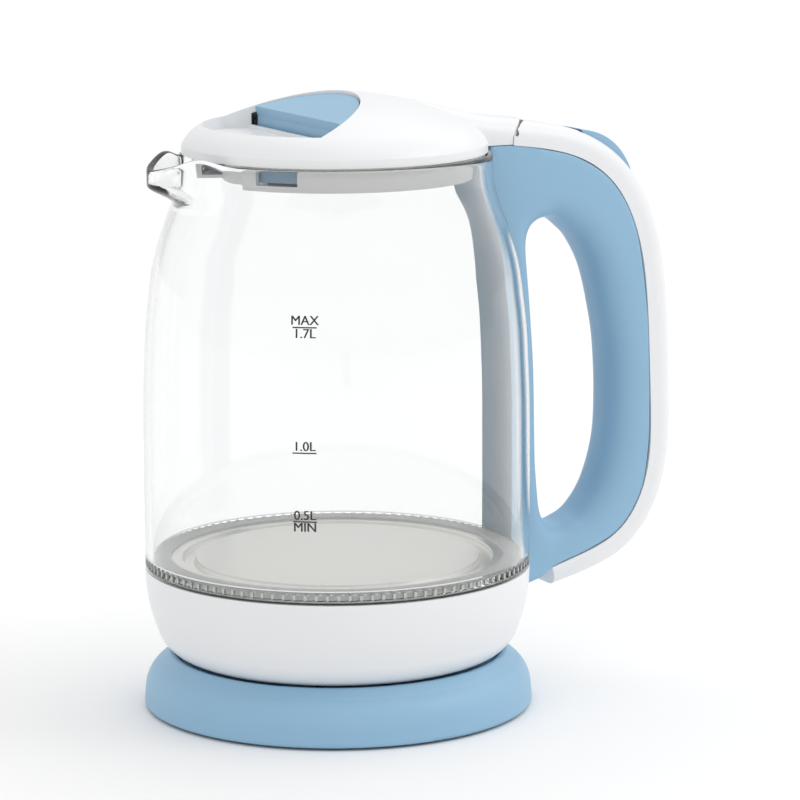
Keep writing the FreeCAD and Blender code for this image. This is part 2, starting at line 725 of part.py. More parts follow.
lean = 90 - 7.5 - math.degrees(opening)
pivot_line = (Vector(hinge_x, 0, hinge_z), Vector(0, 1, 0))
swing = across(swept).revolve(pivot_line[0], pivot_line[1], 360)
stand = across(lambda y: tail_height(y) + size["slip_gap"]).extrude(Vector(0, 0, 30))
stand.rotate(pivot_line[0], pivot_line[1], -lean)
grip = grip.cut(cross_rod(hinge_x, hinge_z, swept(0), tail_half - 2))
pin_radius = size["hinge_pin_width"] / 2
post_half = 4.0
post = side_block([(hinge_x - 2.8, hinge_z), (hinge_x - 3.6, arm - 7), (hinge_x + 3.6, arm - 7),
                   (hinge_x + 2.8, hinge_z)], post_half)
post = post.fuse(cross_rod(hinge_x, hinge_z, 2.8, post_half))
grip = grip.fuse(post).cut(cross_rod(hinge_x, hinge_z, pin_radius, half))

# Screws hold the cover to the foot of the grip.
screw_share = 0.93
screw_place = parting.FirstParameter + (parting.LastParameter - parting.FirstParameter) * screw_share
screw_spot = parting.value(screw_place)
screw_tangent = parting.tangent(screw_place)[0]
outward = Vector(-screw_tangent.z, 0, screw_tangent.x)
screw_face = screw_spot + outward * (cover_depth_at(screw_share) - 1.2)
screw_shank = Part.makeCylinder(1.5, 12, screw_face, outward * -1)
screw_head = Part.makeCylinder(3.0, 1.6, screw_face, outward * -1)
screw = screw_shank.fuse(screw_head)
screw_hole = Part.makeCylinder(3.2, 20, screw_face - outward * 1.7, outward)
screw_path = Part.makeCylinder(1.6, 13, screw_face, outward * -1)
grip = grip.cut(screw_path)
handle_grip = shaped("handle_grip", grip.removeSplitter())

cover = between(seat, back, half)


def on_back(edge):
    """True for the two long rims of the cover's back."""
    box = edge.BoundBox
    flat = box.YMax - box.YMin < 0.01
    return flat and box.XMax > reach and box.ZMax - box.ZMin > rise * 0.8 and box.XMax > reach + 5


cover = cover.makeFillet(7.0, [edge for edge in cover.Edges if on_back(edge)])
inner_room = between(offset_line(parting, lambda share: -2.0, start=0.1, finish=0.96),
                     offset_line(parting, lambda share: cover_depth_at(share) - size["handle_wall"],
                                 start=0.1, finish=0.96), half - size["handle_wall"])
cover = cover.cut(inner_room)
tail_room = upright(tail_centre, 0, size["tail_round"] + size["slip_gap"], arm - 3, size["lid_top"])
cover = cover.cut(tail_room).cut(swing).cut(stand).cut(screw_hole).cut(screw_path)

# ---- power switch: a rocker on a pin in the cover's side walls

rocker_shares = (0.124, 0.2355)
rocker_front, rocker_rear = [
    back.value(back.FirstParameter + (back.LastParameter - back.FirstParameter) * share)
    for share in rocker_shares]
rocker_middle = (rocker_front + rocker_rear) / 2
chord = (rocker_rear - rocker_front)
inward = Vector(chord.z, 0, -chord.x).normalize()
pivot = rocker_middle + inward * 3.6
pivot_radius = size["rocker_pin_width"] / 2
rocker_half = size["rocker_width"] / 2
crown = rocker_middle - inward * 7.4


def towards_pivot(spot, depth):
    return spot + (pivot - spot).normalize() * depth


rocker_corners = [towards_pivot(rocker_rear, 5.0), pivot + inward * 3.0,
                  towards_pivot(rocker_front, 5.0)]
rocker_edges = [Part.Arc(rocker_front, crown, rocker_rear)]
chain = [rocker_rear] + rocker_corners + [rocker_front]
rocker_edges += [Part.LineSegment(start, finish) for start, finish in zip(chain, chain[1:])]
rocker = slab(rocker_edges, rocker_half)
rocker = rocker.cut(cross_rod(pivot.x, pivot.z, pivot_radius + size["run_gap"], half))
power_switch = shaped("power_switch", rocker)

slip = size["slip_gap"]
slot_front = rocker_front + (rocker_front - rocker_rear).normalize() * slip * 1.5
slot_rear = rocker_rear + (rocker_rear - rocker_front).normalize() * slip * 1.5
slot_depth = 3.4
slot_points = [slot_front - inward * 12, slot_front + inward * slot_depth, pivot + inward * 6.5,
               slot_rear + inward * slot_depth, slot_rear - inward * 12]
slot = side_block([(spot.x, spot.z) for spot in slot_points], rocker_half + slip)
cover = cover.cut(slot)
pin_half = half - 1.2
cover = cover.cut(cross_rod(pivot.x, pivot.z, pivot_radius, pin_half))
handle_cover = shaped("handle_cover", cover.removeSplitter())
switch_pin = shaped("switch_pin", cross_rod(pivot.x, pivot.z, pivot_radius, pin_half))
hinge_pin = shaped("hinge_pin", cross_rod(hinge_x, hinge_z, pin_radius, 9.0))
handle_screw = shaped("handle_screw", screw)


def in_channel(share, depth, length, half_width, thickness):
    """A block lying in the grip's channel, its middle at depth under the parting line."""
    place = parting.FirstParameter + (parting.LastParameter - parting.FirstParameter) * share
    spot = parting.value(place)
    direction = parting.tangent(place)[0]
    normal = Vector(-direction.z, 0, direction.x)
    middle = spot - normal * depth
    corners = [middle + direction * (length / 2 * a) + normal * (thickness / 2 * b)
               for a, b in ((-1, -1), (1, -1), (1, 1), (-1, 1))]
    return side_block([(spot.x, spot.z) for spot in corners], half_width), middle, normal


switch_block = shaped("switch_block", in_channel(0.205, 5.2, 13.0, 8.0, 6.0)[0])
steam_solid, steam_spot, steam_normal = in_channel(0.145, 6.0, 7.0, 8.0, 4.0)
steam_thermostat = shaped("steam_thermostat", steam_solid)
bimetal_disc = shaped("bimetal_disc", Part.makeCylinder(
    3.2, 0.6, steam_spot + steam_normal * 2.0, steam_normal))


def wire_path(side):
    """Straight runs and tangent arcs down the channel, at one side of the handle."""
    spots = []
    for share in (0.27, 0.4, 0.55, 0.72, 0.84, 0.9):
        place = parting.FirstParameter + (parting.LastParameter - parting.FirstParameter) * share
        direction = parting.tangent(place)[0]
        spots.append(parting.value(place) + Vector(direction.z, side, -direction.x) * 1.0
                     + Vector(direction.z, 0, -direction.x) * 4.0 + Vector(0, side * 2.0, 0))
    edges = []
    last = spots[0]
    for before, here, after in zip(spots, spots[1:], spots[2:]):
        run_in, run_out = here - before, after - here
        cut = 0.45 * min(run_in.Length, run_out.Length)
        start = here - run_in.normalize() * cut
        finish = here + run_out.normalize() * cut
        bisector = ((start + finish) / 2 - here).normalize()
        half_turn = run_in.getAngle(run_out) / 2
        radius = cut / math.tan(half_turn)
        centre = here + bisector * math.hypot(radius, cut)
        middle = centre + (here - centre).normalize() * radius
        edges.append(Part.LineSegment(last, start).toShape())
        edges.append(Part.Arc(start, middle, finish).toShape())
        last = finish
    edges.append(Part.LineSegment(last, spots[-1]).toShape())
    return Part.Wire(edges), spots


def wire_solid(side):
    path, spots = wire_path(side)
    ring = Part.Wire(Part.makeCircle(1.1, spots[0], spots[1] - spots[0]))
    return path.makePipeShell([ring], True, False)


handle_wires = shaped("handle_wires", Part.makeCompound([wire_solid(side) for side in (-1.5, 1.5)]))

# ---- lid


def dome_outline(shrink):
    rim = size["lid_width"] / 2 - shrink
    edge = size["lid_edge"] - (1.0 if shrink else 0.0)
    bend = size["scoop_circle"] / 2 + 0.5
    return [(0, edge), (rim, edge), (rim, size["lid_edge"] + 3.2, -0.9),
            (bend - shrink * 0.5, size["lid_bend"] - shrink * 0.9, -3.15),
            (0, size["lid_top"] - shrink)]


def tail_form(shrink, low):
    """The tail over the handle: a ridge from the crown down to its rounded end."""
    end = size["tail_reach"]
    top = size["tail_rise"]
    ridge = smooth_line([(24, top + 11.2 - shrink), (42, top + 7.4 - shrink),
                         (60, top + 2.7 - shrink), (end, top - shrink), (end + 8, top - 0.4 - shrink)])
    ridge_start, ridge_end = ends(ridge)
    half_width = size["tail_width"] / 2 - shrink
    edges = [ridge, side_line(ridge_end, (ridge_end[0], low)),
             side_line((ridge_end[0], low), (ridge_start[0], low)),
             side_line((ridge_start[0], low), ridge_start)]
    form = slab(edges, half_width)
    rims = [edge for edge in form.Edges
            if edge.BoundBox.YLength < 0.01 and edge.BoundBox.ZMin > ridge_end[1] - 0.01]
    form = form.makeFillet(round_over - shrink, rims)
    plan = upright(tail_centre, 0, size["tail_round"] - shrink, low - 1, size["lid_top"] + 5)
    strip = Part.makeBox(tail_centre, 2 * half_width, 40, Vector(0, -half_width, low - 1))
    return form.common(plan.fuse(strip))


def lens(grow, low, high):
    """The finger scoop in plan: where two upright cylinders overlap."""
    back_round = upright(-size["scoop_shift"], 0, size["scoop_back"] + grow, low, high)
    return back_round.common(upright(0, 0, size["scoop_circle"] / 2 + grow, low, high))


def before(x, low, high):
    """Everything on the spout side of a plane across the lid."""
    return Part.makeBox(100, 200, high - low, Vector(x - 100, -100, low))


edge, top_limit = size["lid_edge"], size["lid_top"] + 8
dome = spun(dome_outline(0.0))
lid_solid = dome.fuse(tail_form(0.0, arm + slip))
lid_solid = lid_solid.cut(Part.makeBox(60, 60, 20, Vector(tail_centre - 2, -30, arm + slip - 20)))
lid_inner = spun(dome_outline(size["lid_wall"])).fuse(tail_form(size["lid_wall"], arm - 2))
scoop_floor = size["scoop_floor"]
lever_front = -size["lever_front"]
well_back = lever_front - 0.8
tub = lens(1.8, scoop_floor - 2, top_limit).common(before(well_back, 0, top_limit)).common(dome)
cover_solid = lid_solid.cut(lid_inner).fuse(tub)
front_dish = lens(0.0, scoop_floor, top_limit).common(before(well_back - 1.5, 0, top_limit))
lever_well = lens(0.0, scoop_floor + 1.5, top_limit)
under_well = lens(0.0, edge - 2, top_limit).cut(before(well_back, 0, top_limit))
cover_solid = cover_solid.cut(front_dish).cut(lever_well).cut(under_well)

latch_x, latch_z = 2.2, size["lid_top"] - 7.4
latch_pin_radius = 1.25
for middle in (-11.0, 11.0):
    ear = side_block([(latch_x - 2.4, latch_z - 2.4), (latch_x + 10, latch_z - 2.4),
                      (latch_x + 10, latch_z + 5.4), (latch_x + 5, latch_z + 5.4),
                      (latch_x + 1.4, latch_z + 1.4), (latch_x - 2.4, latch_z + 1.4)], 1.2, middle)
    cover_solid = cover_solid.fuse(ear)
knuckle_half = 2.5
for middle in (-7.0, 7.0):
    barrel = cross_rod(hinge_x, hinge_z, 3.0, knuckle_half, middle)
    web = side_block([(hinge_x - 3, hinge_z), (hinge_x + 3, hinge_z), (hinge_x + 3, hinge_z + 4),
                      (hinge_x - 3, hinge_z + 4)], knuckle_half, middle)
    cover_solid = cover_solid.fuse(barrel.fuse(web))
post_room = side_block([(hinge_x - 4, hinge_z + 3.2), (hinge_x + 14, hinge_z + 3.2),
                        (hinge_x + 14, arm - 4), (hinge_x - 4, arm - 4)], post_half + slip)
cover_solid = cover_solid.cut(post_room)
cover_solid = cover_solid.cut(cross_rod(hinge_x, hinge_z, pin_radius + size["run_gap"], 9.6))
cover_solid = cover_solid.cut(cross_rod(latch_x, latch_z, latch_pin_radius, 14))
lid_cover = shaped("lid_cover", cover_solid)
latch_pin = shaped("latch_pin", cross_rod(latch_x, latch_z, latch_pin_radius, 12.2))

# The skirt is a cup under the lid with a window each side for the latch.
cup_floor = size["skirt_floor"]
skirt_top = size["skirt_width"] / 2
skirt_low = skirt_top - size["skirt_taper"] / 2
flange = size["lid_width"] / 2 - size["lid_wall"] - size["seat_gap"]
skirt_wall = size["skirt_wall"]
floor_sheet = 1.2
skirt = spun([(0, cup_floor), (skirt_low, cup_floor), (skirt_top, edge + 0.2),
              (flange, edge + 0.2), (flange, edge + 2.0), (skirt_top - skirt_wall, edge + 2.0),
              (skirt_low - skirt_wall, cup_floor + floor_sheet), (0, cup_floor + floor_sheet)])


def sector(radius_low, radius_high, low, high, angle_from, angle_to):
    """A piece of a tube between two angles round the axis."""
    ring = upright(0, 0, radius_high, low, high).cut(upright(0, 0, radius_low, low - 1, high + 1))
    rays = [Vector(0, 0, low)] + [Vector(2 * radius_high * math.cos(math.radians(angle)),
                                         2 * radius_high * math.sin(math.radians(angle)), low)
                                  for angle in (angle_from, (angle_from + angle_to) / 2, angle_to)]
    wedge = Part.Face(Part.makePolygon(rays + rays[:1])).extrude(Vector(0, 0, high - low))
    return ring.common(wedge)


window_low, window_high = size["lid_edge"] - 7.7, size["lid_edge"] - 1.7
mouth_depth = 43.0
mouth = sector(mouth_depth, 70, cup_floor - 1, edge - 0.4, 156, 204)
screen = sector(mouth_depth - 1.2, mouth_depth + 0.2, cup_floor, edge + 1.5, 152, 208)
skirt = skirt.cut(mouth).fuse(screen)
for side in (-1, 1):
    start, finish = sorted((180 + side * 31, 180 + side * 49))
    skirt = skirt.cut(sector(skirt_low - 4, skirt_top + 2, window_low, window_high, start, finish))
lid_skirt = shaped("lid_skirt", skirt.removeSplitter())
lid_seal = shaped("lid_seal", spun([
    (skirt_top - 0.1, edge - 3.2), (skirt_top + 0.9, edge - 3.2), (skirt_top + 0.9, edge - 1.4),
    (skirt_top + 0.05, edge - 1.4)]).cut(upright(0, 0, skirt_top + 0.02, edge - 4, edge)))

# ---- lid latch: a sloped lever in the scoop, with two arms behind the windows

slope = math.tan(math.radians(size["lever_rise"]))
lever_edge = size["lever_edge"]


def slope_height(x):
    return lever_edge + slope * (x - lever_front)


rear_x = size["scoop_back"] - size["scoop_shift"]
plate_form = side_block([(lever_front, lever_edge), (rear_x + 1, slope_height(rear_x + 1)),
                         (rear_x + 1, slope_height(rear_x + 1) - 2.4),
                         (lever_front + 2.6, slope_height(lever_front + 2.6) - 2.6),
                         (lever_front + 3.2, scoop_floor - 3), (lever_front + 0.8, scoop_floor - 3),
                         (lever_front + 1.2, lever_edge - 4)], 60)
lever = plate_form.common(lens(-0.6, 200, top_limit))
lever = lever.common(spun(dome_outline(0.8)))
arm_low = cup_floor + floor_sheet + 2.0
for side in (-1, 1):
    middle = side * 27.0
    leg = side_block([(lever_front + 0.8, scoop_floor), (lever_front + 3.2, scoop_floor),
                      (lever_front + 3.2, arm_low), (lever_front - 22, arm_low),
                      (lever_front - 22, arm_low + 2.4), (lever_front + 0.8, arm_low + 2.4)],
                     2.0, middle)
    start, finish = sorted((180 - side * 28, 180 - side * 52))
    bolt = sector(skirt_low - skirt_wall - 4.4, skirt_low - skirt_wall - 0.6, arm_low,
                  size["lid_edge"] - 1.2, start, finish)
    lever = lever.fuse(leg).fuse(bolt)
for middle in (-6.5, 6.5):
    hub = cross_rod(latch_x, latch_z, 2.4, 2.5, middle)
    rib = side_block([(latch_x - 2.4, latch_z), (latch_x + 2.4, latch_z),
                      (latch_x + 2.4, latch_z + 4.0), (latch_x - 2.4, latch_z + 4.0)], 2.5, middle)
    lever = lever.fuse(hub.fuse(rib))
lever = lever.cut(cross_rod(latch_x, latch_z, latch_pin_radius + size["run_gap"], 14))
lid_latch = shaped("lid_latch", lever.removeSplitter())
latch_spring = shaped("latch_spring", cross_rod(latch_x, latch_z, 2.2, 3.0).cut(
    cross_rod(latch_x, latch_z, latch_pin_radius + 0.1, 4.0)))

# ---- check every object, then write one file for each sub-part

nodes = [base_top_shell, base_bottom_plate, base_foot_ring, base_screws, base_socket,
         base_contacts, cord_gland, bottom_shell, bottom_cover, jug_feet, bottom_screws,
         jug_connector, connector_pins, heating_plate, plate_seal, light_ring, heating_element,
         thermostat, light_board, leds, glass_jug, handle_grip, handle_cover, switch_pin,
         hinge_pin, handle_screw, switch_block, steam_thermostat, bimetal_disc, handle_wires,
         lid_cover, latch_pin, lid_skirt, lid_seal, latch_spring, lid_latch, power_switch]
doc.recompute()
for item in doc.Objects:
    if "Invalid" in item.State or "Error" in item.State:
        raise RuntimeError("%s did not compute" % item.Label)
os.makedirs("parts", exist_ok=True)
for node in nodes:
    shape = node.Shape
    if shape.isNull() or not shape.isValid() or not shape.Solids:
        raise RuntimeError("%s has no valid solid" % node.Label)
    shape.exportStep("parts/%s.step" % node.Label)
    print("%-20s %2d solids %10.1f mm3" % (node.Label, len(shape.Solids), shape.Volume))
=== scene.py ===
import math

import bpy
import numpy as np
from mathutils import Matrix, Vector


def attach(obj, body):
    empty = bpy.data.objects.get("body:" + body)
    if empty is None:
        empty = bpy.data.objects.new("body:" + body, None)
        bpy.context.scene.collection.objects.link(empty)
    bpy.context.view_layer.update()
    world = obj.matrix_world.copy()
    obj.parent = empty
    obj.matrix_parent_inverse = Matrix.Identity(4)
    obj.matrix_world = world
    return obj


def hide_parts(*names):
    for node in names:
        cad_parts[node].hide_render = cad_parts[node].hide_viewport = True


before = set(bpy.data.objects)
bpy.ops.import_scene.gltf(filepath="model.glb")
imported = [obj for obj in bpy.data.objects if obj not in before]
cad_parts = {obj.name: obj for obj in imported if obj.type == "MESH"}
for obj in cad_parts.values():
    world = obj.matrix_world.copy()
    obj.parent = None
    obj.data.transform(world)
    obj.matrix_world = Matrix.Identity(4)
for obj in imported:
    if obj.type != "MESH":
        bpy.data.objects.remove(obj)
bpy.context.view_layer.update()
print("frame loaded")


# sRGB hex to linear RGBA
def hexColour(text):
    srgb = [int(text[i:i + 2], 16) / 255 for i in (1, 3, 5)]
    return tuple(c / 12.92 if c <= 0.04045 else ((c + 0.055) / 1.055) ** 2.4 for c in srgb) + (1.0,)


# Adds a node: settings are attributes or input values, links are input: output socket
def addNode(tree, kind, settings=None, links=None):
    node = tree.nodes.new(kind)
    for key, value in (settings or {}).items():
        if isinstance(key, str) and hasattr(node, key):
            setattr(node, key, value)
        else:
            node.inputs[key].default_value = value
    for key, source in (links or {}).items():
        tree.links.new(source, node.inputs[key])
    return node


def newMaterial(name):
    material = bpy.data.materials.new(name)
    material.use_nodes = True
    tree = material.node_tree
    tree.nodes.clear()
    output = tree.nodes.new("ShaderNodeOutputMaterial")
    return material, tree, output


driftMm = 45.0  # length over which a moulded colour drifts


# Moulded plastic: a body colour that drifts a little, and a skin whose grain is grainMm wide
def moulded(name, colour, shade, roughness, grainMm, bumpMm):
    material, tree, output = newMaterial(name)
    place = addNode(tree, "ShaderNodeTexCoord").outputs["Object"]
    drift = addNode(tree, "ShaderNodeTexNoise", {"Scale": 1000.0 / driftMm, "Detail": 2.0},
                    {"Vector": place})
    mix = addNode(tree, "ShaderNodeMix", {"data_type": "RGBA", 6: hexColour(colour), 7: hexColour(shade)},
                  {"Factor": drift.outputs["Fac"]})
    skin = addNode(tree, "ShaderNodeTexNoise", {"Scale": 1000.0 / grainMm, "Detail": 3.0},
                   {"Vector": place})
    rough = addNode(tree, "ShaderNodeMapRange", {"To Min": roughness - 0.03, "To Max": roughness + 0.05},
                    {"Value": skin.outputs["Fac"]})
    bump = addNode(tree, "ShaderNodeBump", {"Strength": 0.25, "Distance": bumpMm / 1000},
                   {"Height": skin.outputs["Fac"]})
    shader = addNode(tree, "ShaderNodeBsdfPrincipled", {"IOR": 1.5},
                     {"Base Color": mix.outputs[2], "Roughness": rough.outputs[0],
                      "Normal": bump.outputs[0]})
    tree.links.new(shader.outputs[0], output.inputs["Surface"])
    return material


# Satin ABS in powder blue, moulded in a spark-eroded tool: soft wide highlights
blueAbs = moulded("satinBlueAbs", "#92BAD6", "#8DB6D2", 0.42, 0.7, 0.010)
# White ABS from a polished tool: clean, with a soft gloss
whiteAbs = moulded("polishedWhiteAbs", "#ECEDEE", "#E9EAEC", 0.3, 2.5, 0.0002)
# White polypropylene from a polished tool: a little brighter and softer than the ABS
whitePolypropylene = moulded("polishedWhitePolypropylene", "#FCFCFB", "#F8F8F7", 0.38, 2.5, 0.0002)
# Teeth of the light ring in flat grey, which is painted shade: it stands for the shade in the ring's rib
# grooves and reads as grey dashes
paintedGrooveShadeTeeth = moulded("ringTeethPaintedGrooveShade", "#C2C4C0", "#B8BAB6", 0.4, 1.5, 0.001)
# Black thermoset from a plain tool: dull and slightly grey
darkResin = moulded("dullBlackThermoset", "#1B1B1D", "#222224", 0.5, 0.6, 0.02)
# Nitrile rubber, moulded: no gloss
blackRubber = moulded("mouldedBlackRubber", "#161616", "#1E1E1E", 0.75, 0.5, 0.03)
# Milky silicone, moulded: soft and waxy
milkySilicone = moulded("mouldedMilkySilicone", "#EDEEEC", "#E4E6E3", 0.45, 0.8, 0.01)
# Glass-filled epoxy board under green lacquer
boardLacquer = moulded("greenBoardLacquer", "#1E5A33", "#174A2A", 0.3, 1.0, 0.01)
# Water-clear epoxy lens with a milky chip
lampLens = moulded("mouldedLampLens", "#DDE6F0", "#CFD9E6", 0.2, 1.0, 0.004)
# PVC wire skin, extruded
wireSkin = moulded("extrudedWireSkin", "#8A2A22", "#7A211C", 0.4, 1.5, 0.006)


ringWave = 314.0  # a wave of rings repeats every ringWave / Scale millimetres


# Metal with fine scratches scratchMm apart, in rings where it was turned under the brush
def brushedMetal(name, colour, dark, roughness, scratchMm, ringed):
    material, tree, output = newMaterial(name)
    place = addNode(tree, "ShaderNodeTexCoord").outputs["Object"]
    if ringed:
        scratch = addNode(tree, "ShaderNodeTexWave",
                          {"wave_type": "RINGS", "rings_direction": "Z", "Scale": ringWave / scratchMm,
                           "Distortion": 0.6, "Detail": 2.0}, {"Vector": place})
    else:
        scratch = addNode(tree, "ShaderNodeTexNoise", {"Scale": 1000.0 / scratchMm, "Detail": 2.0},
                          {"Vector": place})
    mix = addNode(tree, "ShaderNodeMix", {"data_type": "RGBA", 6: hexColour(colour), 7: hexColour(dark)},
                  {"Factor": scratch.outputs["Fac"]})
    rough = addNode(tree, "ShaderNodeMapRange", {"To Min": roughness - 0.06, "To Max": roughness + 0.06},
                    {"Value": scratch.outputs["Fac"]})
    bump = addNode(tree, "ShaderNodeBump", {"Strength": 0.2, "Distance": 0.00002},
                   {"Height": scratch.outputs["Fac"]})
    shader = addNode(tree, "ShaderNodeBsdfPrincipled", {"Metallic": 1.0},
                     {"Base Color": mix.outputs[2], "Roughness": rough.outputs[0],
                      "Normal": bump.outputs[0]})
    tree.links.new(shader.outputs[0], output.inputs["Surface"])
    return material


# Stainless steel sheet, pressed then brushed in rings: pale, with a soft streak of light
ringBrushedSteel = brushedMetal("ringBrushedStainless", "#F3F2EE", "#EAE8E3", 0.38, 0.9, True)
# Zinc plated steel, barrel finished
zincSteel = brushedMetal("barrelFinishedZincSteel", "#B9BAB8", "#A2A3A2", 0.35, 1.1, False)
# Contact brass, stamped and tin flashed
contactBrass = brushedMetal("stampedContactBrass", "#D9B878", "#C7A25E", 0.3, 1.1, False)


# A clear solid whose surface keeps a faint wave from how it was made, and takes a little light
# on the way through, so that it darkens where it is seen edge on
def clearMaterial(name, tint, roughness, ior, waveMm, waveDepthMm, bodyTint, bodyDensity):
    material, tree, output = newMaterial(name)
    place = addNode(tree, "ShaderNodeTexCoord").outputs["Object"]
    wave = addNode(tree, "ShaderNodeTexNoise", {"Scale": 1000.0 / waveMm, "Detail": 1.0},
                   {"Vector": place})
    bump = addNode(tree, "ShaderNodeBump", {"Strength": 0.3, "Distance": waveDepthMm / 1000},
                   {"Height": wave.outputs["Fac"]})
    shade = addNode(tree, "ShaderNodeMix", {"data_type": "RGBA", 6: hexColour(tint), 7: hexColour("#FFFFFF")},
                    {"Factor": wave.outputs["Fac"]})
    shader = addNode(tree, "ShaderNodeBsdfPrincipled",
                     {"Roughness": roughness, "IOR": ior, "Transmission Weight": 1.0},
                     {"Base Color": shade.outputs[2], "Normal": bump.outputs[0]})
    body = addNode(tree, "ShaderNodeVolumeAbsorption",
                   {"Color": hexColour(bodyTint), "Density": bodyDensity})
    tree.links.new(shader.outputs[0], output.inputs["Surface"])
    tree.links.new(body.outputs[0], output.inputs["Volume"])
    return material


# Borosilicate glass, mould blown: clear, with dark lines where the wall is seen edge on
blownGlass = clearMaterial("blownBorosilicate", "#FDFEFE", 0.0, 1.47, 40.0, 0.03, "#C4CCCE", 9.0)
# Clear polycarbonate from a ribbed tool: bright, its ribs drawn by thin grey lines
clearPoly = clearMaterial("ribbedClearPolycarbonate", "#FAFBFB", 0.12, 1.4, 6.0, 0.01, "#E6EAEA", 6.0)

nodeMaterials = {
    "base_top_shell": blueAbs, "base_bottom_plate": darkResin, "base_foot_ring": blackRubber,
    "base_screws": zincSteel, "base_socket": darkResin, "base_contacts": contactBrass,
    "cord_gland": blackRubber, "bottom_shell": whiteAbs, "bottom_cover": whiteAbs,
    "jug_feet": blackRubber, "bottom_screws": zincSteel, "jug_connector": darkResin,
    "connector_pins": contactBrass, "heating_plate": ringBrushedSteel, "plate_seal": milkySilicone,
    "light_ring": clearPoly, "heating_element": zincSteel, "thermostat_control": darkResin,
    "light_board": boardLacquer, "leds": lampLens, "glass_jug": blownGlass,
    "handle_grip": blueAbs, "handle_cover": whiteAbs, "switch_pin": zincSteel,
    "hinge_pin": zincSteel, "handle_screw": zincSteel, "switch_block": darkResin,
    "steam_thermostat": darkResin, "bimetal_disc": contactBrass, "handle_wires": wireSkin,
    "lid_cover": whiteAbs, "latch_pin": zincSteel, "lid_skirt": whitePolypropylene,
    "lid_seal": milkySilicone, "latch_spring": zincSteel, "lid_latch": blueAbs,
    "power_switch": blueAbs,
}
for name, material in nodeMaterials.items():
    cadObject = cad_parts[name]
    if not cadObject.material_slots:
        cadObject.data.materials.append(material)
    for materialSlot in cadObject.material_slots:
        materialSlot.material = material
print("materials made")


# Cubic curve through (xs, ys): each slope is that of the chord between its neighbours.
# With loop, the curve closes on itself after that length.
def smoothCurve(at, xs, ys, loop=0.0):
    xs, ys = np.array(xs, float), np.array(ys, float)
    if loop:
        xs = np.concatenate([xs[-2:] - loop, xs, xs[:3] + loop])
        ys = np.concatenate([ys[-2:], ys, ys[:3]])
    slope = np.gradient(ys, xs)
    at = np.asarray(at, float)
    k = np.clip(np.searchsorted(xs, at, side="right") - 1, 0, len(xs) - 2)
    span = xs[k + 1] - xs[k]
    t = np.clip((at - xs[k]) / span, 0, 1)
    return ((2 * t ** 3 - 3 * t ** 2 + 1) * ys[k] + (t ** 3 - 2 * t ** 2 + t) * span * slope[k]
            + (3 * t ** 2 - 2 * t ** 3) * ys[k + 1] + (t ** 3 - t ** 2) * span * slope[k + 1])


def smoothStep(t):
    t = np.clip(t, 0, 1)
    return t * t * (3 - 2 * t)


# Mesh of a grid of points in mm, rows by columns, that closes on itself both ways
def gridPiece(name, points, material, body, replaced=(), sharp=40.0, flip=False):
    rows, columns = points.shape[:2]
    u, v = np.arange(rows), np.arange(columns)
    a = (u[:, None] * columns + v[None, :]).ravel()
    b = (((u + 1) % rows)[:, None] * columns + v[None, :]).ravel()
    c = (((u + 1) % rows)[:, None] * columns + ((v + 1) % columns)[None, :]).ravel()
    d = (u[:, None] * columns + ((v + 1) % columns)[None, :]).ravel()
    faces = np.stack([a, d, c, b] if flip else [a, b, c, d], 1)
    mesh = bpy.data.meshes.new(name)
    mesh.from_pydata((points.reshape(-1, 3) / 1000).tolist(), [], faces.tolist())
    return finishPiece(name, mesh, material, body, replaced, sharp)


def finishPiece(name, mesh, material, body, replaced=(), sharp=40.0):
    mesh.validate()
    mesh.polygons.foreach_set("use_smooth", np.ones(len(mesh.polygons), bool))
    mesh.set_sharp_from_angle(angle=math.radians(sharp))
    mesh.materials.clear()
    mesh.materials.append(material)
    piece = bpy.data.objects.new(name, mesh)
    bpy.context.collection.objects.link(piece)
    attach(piece, body)
    if replaced:
        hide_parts(*replaced)
    return piece


# Unit normals of a grid that closes along its columns: the cross of its two differences
def faceNormals(points):
    along = np.gradient(points, axis=0)
    around = (np.roll(points, -1, axis=1) - np.roll(points, 1, axis=1)) / 2
    normal = np.cross(around, along)
    return normal / np.linalg.norm(normal, axis=2, keepdims=True)


glassShape = {
    "heights": [61.9, 80, 100, 126, 139, 151, 164, 177, 189, 202, 208, 214, 220.6],
    "radii": [76.4, 76.5, 76.5, 76.3, 75.8, 75.2, 73.8, 72.0, 68.7, 64.2, 62.7, 62.1, 61.9],
    "wall": 2.9, "spoutReach": 79.0, "spoutHalfAngle": 26.0, "spoutFrom": 200.5, "spoutTo": 214.0,
    "earRise": 2.7, "earAngle": 15.0, "earSpread": 5, "lipDrop": 2.2, "lipSpread": 7,
    "riseFrom": 208, "beadHeight": 1.5, "rimDrop": 1.5, "dropFrom": 200, "dropOver": 20,
    "around": 360, "up": 96,
}


def glassRadius(z):
    return smoothCurve(z, glassShape["heights"], glassShape["radii"])


